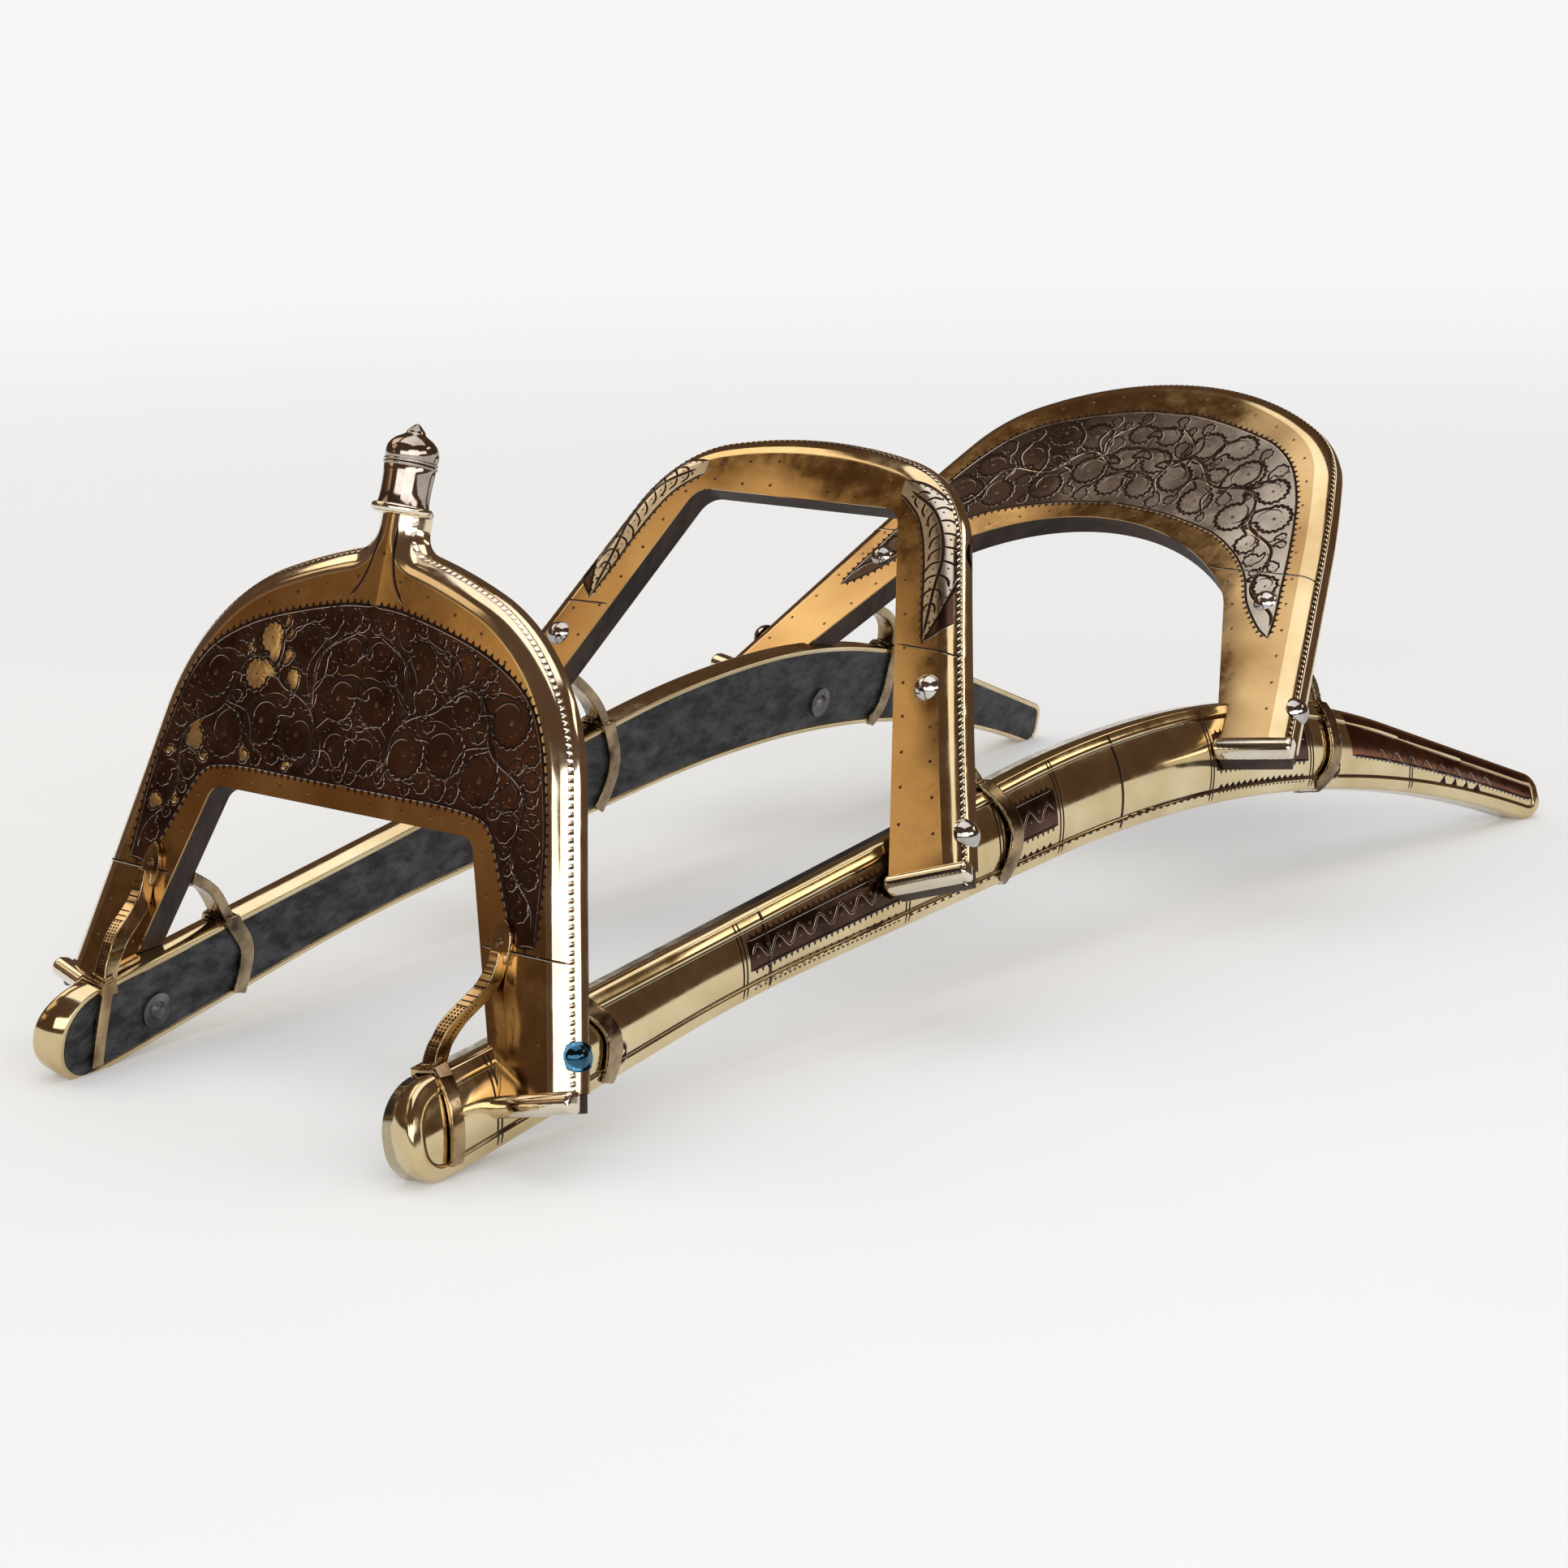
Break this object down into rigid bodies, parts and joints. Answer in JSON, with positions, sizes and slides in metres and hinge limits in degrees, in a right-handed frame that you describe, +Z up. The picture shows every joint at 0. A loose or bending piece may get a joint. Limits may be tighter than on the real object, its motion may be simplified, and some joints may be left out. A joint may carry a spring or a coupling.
{
  "type": "camel saddle stool",
  "caption": "Wooden camel saddle stool: three leaning arches in engraved sheet brass stand on two bowed, brass-clad runners, with iron braces, hooked straps and a turned finial.",
  "frame": {"origin": "centre of the stool's bounding box on the ground under the runners", "axes": "+X across the stool to its left-hand runner, +Y lengthwise from the finial end to the tails of the runners, +Z up"},
  "size_m": [0.3672, 0.789, 0.2735],
  "materials": {
    "stained_wood": "dark brown stained hardwood, dull",
    "arch_brass": "old polished sheet brass, engraved, warm and uneven",
    "runner_brass": "old polished sheet brass, engraved",
    "edge_brass": "rolled brass edging, rubbed bright",
    "foot_brass": "rounded brass moulding",
    "iron_strap": "dark punched iron with rubbed bright corners",
    "finial_brass": "turned brass, polished",
    "silvered_heads": "bright silvery heads",
    "washer_steel": "dull grey washers",
    "dark_steel": "dark plain steel"
  },
  "bodies": {
    "root": {"bolt_washers": "washer_steel", "finial_cap": "finial_brass", "finial_collar": "finial_brass", "finial_post": "stained_wood", "finial_sleeve": "finial_brass", "front_arch_board": "stained_wood", "front_arch_crown_sheet": "arch_brass", "front_brace_nails": "dark_steel", "front_leg_bolts": "dark_steel", "front_leg_studs": "silvered_heads", "gooseneck_nails": "dark_steel", "left_front_arch_side_strip": "edge_brass", "left_front_brace": "iron_strap", "left_front_foot_bar": "foot_brass", "left_front_leg_sheet": "arch_brass", "left_gooseneck": "iron_strap", "left_middle_brace": "iron_strap", "left_middle_foot_bar": "foot_brass", "left_middle_leg_sheet": "arch_brass", "left_rear_brace": "iron_strap", "left_rear_foot_bar": "foot_brass", "left_rear_leg_sheet": "arch_brass", "left_runner_board": "stained_wood", "left_runner_edging": "edge_brass", "left_runner_front_sheet": "runner_brass", "left_runner_middle_sheet": "runner_brass", "left_runner_rear_sheet": "runner_brass", "middle_arch_board": "stained_wood", "middle_arch_crown_sheet": "arch_brass", "middle_arch_side_strip": "edge_brass", "middle_leg_bolts": "dark_steel", "middle_leg_rivets": "silvered_heads", "middle_leg_studs": "silvered_heads", "rear_arch_board": "stained_wood", "rear_arch_crown_sheet": "arch_brass", "rear_arch_side_strip": "edge_brass", "rear_leg_bolts": "dark_steel", "rear_leg_rivets": "silvered_heads", "rear_leg_studs": "silvered_heads", "right_front_arch_side_strip": "edge_brass", "right_front_brace": "iron_strap", "right_front_foot_bar": "foot_brass", "right_front_leg_sheet": "arch_brass", "right_gooseneck": "iron_strap", "right_middle_brace": "iron_strap", "right_middle_foot_bar": "foot_brass", "right_middle_leg_sheet": "arch_brass", "right_rear_brace": "iron_strap", "right_rear_foot_bar": "foot_brass", "right_rear_leg_sheet": "arch_brass", "right_runner_board": "stained_wood", "right_runner_edging": "edge_brass", "right_runner_front_sheet": "runner_brass", "right_runner_middle_sheet": "runner_brass", "right_runner_rear_sheet": "runner_brass"}
  },
  "joints": []
}
